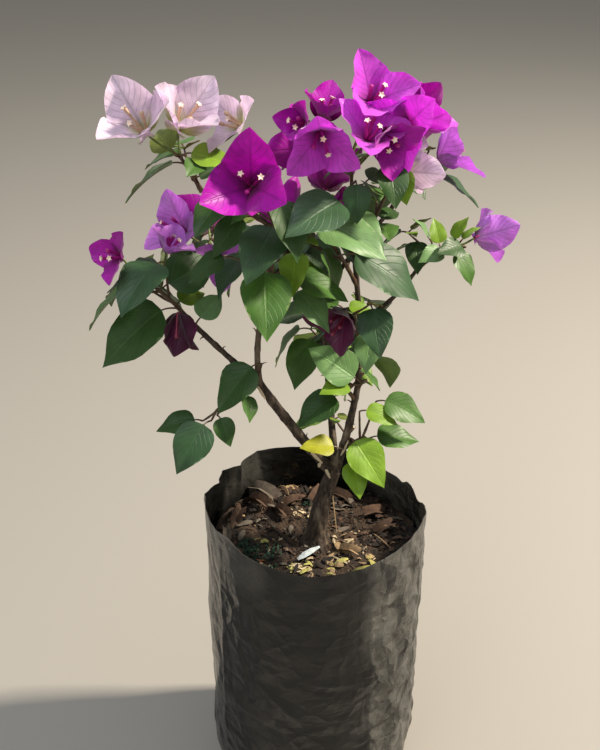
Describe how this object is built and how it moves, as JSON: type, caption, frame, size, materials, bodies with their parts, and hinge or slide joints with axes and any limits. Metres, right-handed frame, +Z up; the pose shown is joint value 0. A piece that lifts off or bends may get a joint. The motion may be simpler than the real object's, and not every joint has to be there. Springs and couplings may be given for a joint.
{
  "type": "bougainvillea bush in a nursery bag",
  "caption": "Young flowering bougainvillea with a leaning forked trunk and open crown, in a black soil-filled polythene nursery bag.",
  "frame": {"origin": "middle of the bag's flat underside, on the surface that it stands on", "axes": "+Z up; the side with the large front bloom faces -Y, and +X is to the right of that view"},
  "size_m": [0.2795, 0.195, 0.568],
  "materials": {
    "film": "creased semi-gloss film",
    "soil": "matt, coarse",
    "bark": "matt, fissured",
    "foliage": "satin leaves, papery bracts"
  },
  "bodies": {
    "root": {"bag": "film", "soil": "soil", "trunk": "bark", "left_bough": "bark", "right_bough": "bark", "left_arm": "bark", "mid_bough": "bark", "crown_bough": "bark", "white_arm": "bark", "right_arm": "bark", "back_bough": "bark", "back_left_arm": "bark", "back_right_arm": "bark", "left_mass": "foliage", "low_left_mass": "foliage", "middle_mass": "foliage", "front_mass": "foliage", "white_mass": "foliage", "crown_mass": "foliage", "crown_right_mass": "foliage", "centre_mass": "foliage", "inner_mass": "foliage", "right_mass": "foliage", "low_inner_mass": "foliage", "low_right_mass": "foliage", "back_left_mass": "foliage", "back_mass": "foliage", "back_right_mass": "foliage", "back_low_mass": "foliage", "back_inner_mass": "foliage"}
  },
  "joints": []
}
